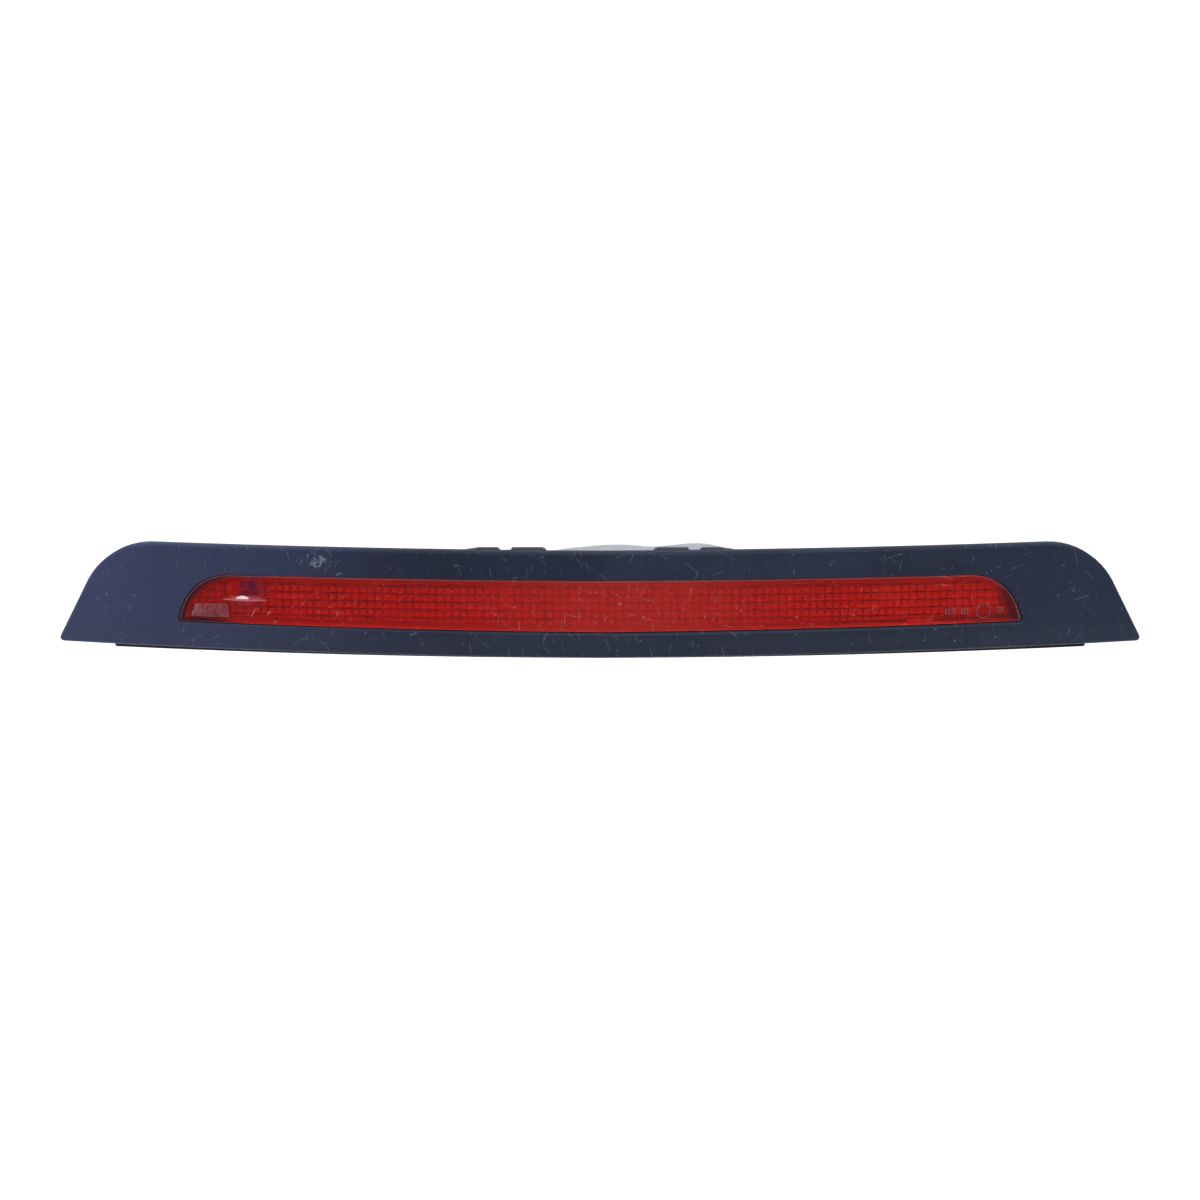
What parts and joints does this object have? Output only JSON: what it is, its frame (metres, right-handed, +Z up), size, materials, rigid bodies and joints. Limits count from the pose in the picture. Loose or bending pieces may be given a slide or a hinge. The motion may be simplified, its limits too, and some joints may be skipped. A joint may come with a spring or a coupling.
{
  "type": "third brake light",
  "caption": "Long bowed third brake light: dark trim with sloped ends, inset red optic lens, spring clips on top and a pull-out bulb carrier behind.",
  "frame": {"origin": "middle of the two fixing holes, on the plane where the lamp meets the body panel", "axes": "+X along the lamp, +Y from the lens into the vehicle, +Z up"},
  "size_m": [0.4352, 0.053, 0.0433],
  "materials": {
    "trim_plastic": "fine-grained moulded, slightly scuffed",
    "lens_red": "clear red, moulded pillow optics",
    "seal_rubber": "matte",
    "housing_plastic": "satin moulded",
    "reflector_metallised": "vacuum-metallised mirror coat on plastic",
    "carrier_plastic": "satin white moulded",
    "contact_brass": "stamped",
    "bulb_glass": "clear",
    "filament_wire": "drawn wire",
    "spring_steel": "dark phosphated spring steel",
    "foam": "cellular",
    "screw_steel": "zinc-plated",
    "insert_brass": "knurled"
  },
  "bodies": {
    "lamp_body": {"trim_cover": "trim_plastic", "lens": "lens_red", "lens_seal": "seal_rubber", "lamp_housing": "housing_plastic", "reflector": "reflector_metallised", "clip_base_left": "spring_steel", "clip_base_right": "spring_steel", "foam_pad_left": "foam", "foam_pad_right": "foam", "trim_screws": "screw_steel", "threaded_inserts": "insert_brass", "lower_seal_strip": "seal_rubber"},
    "carrier": {"bulb_carrier": "carrier_plastic", "supply_strip": "contact_brass", "ground_strip": "contact_brass"},
    "bulb_1": {"bulb_1": "bulb_glass", "filament_1": "filament_wire"},
    "bulb_2": {"bulb_2": "bulb_glass", "filament_2": "filament_wire"},
    "bulb_3": {"bulb_3": "bulb_glass", "filament_3": "filament_wire"},
    "bulb_4": {"bulb_4": "bulb_glass", "filament_4": "filament_wire"},
    "bulb_5": {"bulb_5": "bulb_glass", "filament_5": "filament_wire"},
    "tongue_left": {"carrier_tongue_left": "carrier_plastic"},
    "tongue_right": {"carrier_tongue_right": "carrier_plastic"},
    "clip_left": {"clip_spring_left": "spring_steel"},
    "clip_right": {"clip_spring_right": "spring_steel"}
  },
  "joints": [
    {"name": "carrier_slide", "type": "slide", "parent": "lamp_body", "child": "carrier", "axis": [0, 1, 0], "range_m": [0, 0.035]},
    {"name": "bulb_1_slide", "type": "slide", "parent": "carrier", "child": "bulb_1", "axis": [0, -1, 0], "range_m": [0, 0.0075]},
    {"name": "bulb_2_slide", "type": "slide", "parent": "carrier", "child": "bulb_2", "axis": [0, -1, 0], "range_m": [0, 0.0075]},
    {"name": "bulb_3_slide", "type": "slide", "parent": "carrier", "child": "bulb_3", "axis": [0, -1, 0], "range_m": [0, 0.0075]},
    {"name": "bulb_4_slide", "type": "slide", "parent": "carrier", "child": "bulb_4", "axis": [0, -1, 0], "range_m": [0, 0.0075]},
    {"name": "bulb_5_slide", "type": "slide", "parent": "carrier", "child": "bulb_5", "axis": [0, -1, 0], "range_m": [0, 0.0075]},
    {"name": "tongue_left_hinge", "type": "hinge", "parent": "carrier", "child": "tongue_left", "pos_m": [-0.1386, -0.005, 0], "axis": [0, 0, -1], "range_deg": [0, 6], "stiffness_Nm_per_rad": 0.8},
    {"name": "tongue_right_hinge", "type": "hinge", "parent": "carrier", "child": "tongue_right", "pos_m": [0.1386, -0.005, 0], "axis": [0, 0, 1], "range_deg": [0, 6], "stiffness_Nm_per_rad": 0.8},
    {"name": "clip_left_hinge", "type": "hinge", "parent": "lamp_body", "child": "clip_left", "pos_m": [-0.0378, -0.0071, 0.016], "axis": [1, 0, 0], "range_deg": [0, 7], "stiffness_Nm_per_rad": 1.2},
    {"name": "clip_right_hinge", "type": "hinge", "parent": "lamp_body", "child": "clip_right", "pos_m": [0.0378, -0.0071, 0.016], "axis": [1, 0, 0], "range_deg": [0, 7], "stiffness_Nm_per_rad": 1.2}
  ]
}
